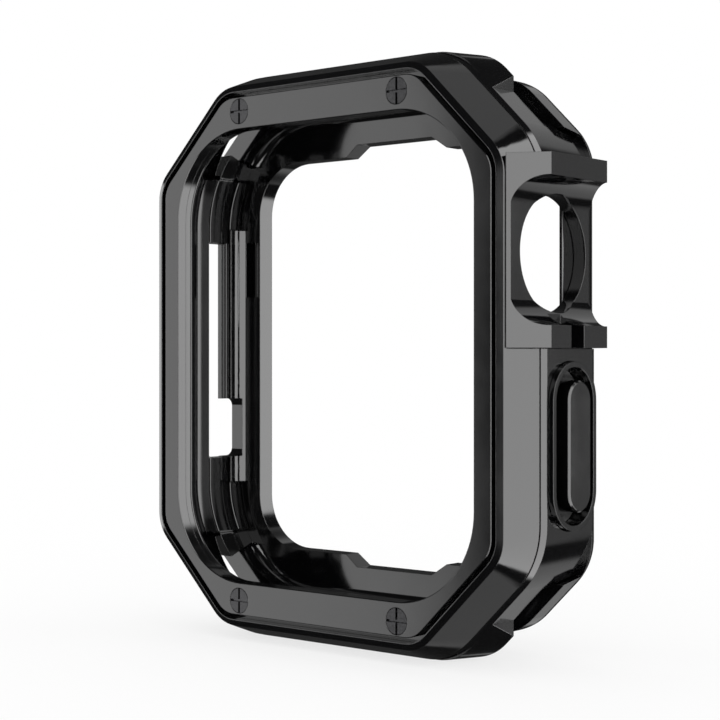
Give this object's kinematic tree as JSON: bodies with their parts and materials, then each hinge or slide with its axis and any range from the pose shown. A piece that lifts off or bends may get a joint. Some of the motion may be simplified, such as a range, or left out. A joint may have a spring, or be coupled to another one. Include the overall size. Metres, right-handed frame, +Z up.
{
  "type": "smartwatch case",
  "caption": "Rugged black bumper case for a rounded rectangular smartwatch, with a screwed face plate, strap slots, a guarded crown hole and a side push button.",
  "frame": {"origin": "middle of the flat lower end that the case stands on, half way between its front and back", "axes": "+Z up through the case towards twelve o'clock, -Y out of the face that the wearer looks at, +X towards the crown side"},
  "size_m": [0.0447, 0.013, 0.0516],
  "materials": {
    "black_plastic": "satin black moulded polycarbonate",
    "soft_black_rubber": "matt black soft TPU",
    "button_plastic": "black moulded plastic",
    "black_steel": "black oxide steel"
  },
  "bodies": {
    "case": {"front_bumper": "black_plastic", "face_plate": "black_plastic", "face_screw_top_left": "black_steel", "face_screw_top_right": "black_steel", "face_screw_bottom_left": "black_steel", "face_screw_bottom_right": "black_steel", "screen_gasket": "soft_black_rubber", "middle_frame": "black_plastic", "left_liner": "soft_black_rubber", "right_liner": "soft_black_rubber", "back_frame": "black_plastic", "corner_screw_top_left": "black_steel", "corner_screw_top_right": "black_steel", "corner_screw_bottom_left": "black_steel", "corner_screw_bottom_right": "black_steel", "crown_guard": "black_plastic", "guard_screw_upper": "black_steel", "guard_screw_lower": "black_steel", "button_collar": "black_plastic", "button_membrane": "soft_black_rubber"},
    "button": {"button_cap": "button_plastic", "push_rod": "button_plastic"}
  },
  "joints": [
    {"name": "side_button_press", "type": "slide", "parent": "case", "child": "button", "axis": [-1, 0, 0], "range_m": [0, 0.0004], "stiffness_N_per_m": 3000, "deforming": ["button_membrane"]}
  ]
}
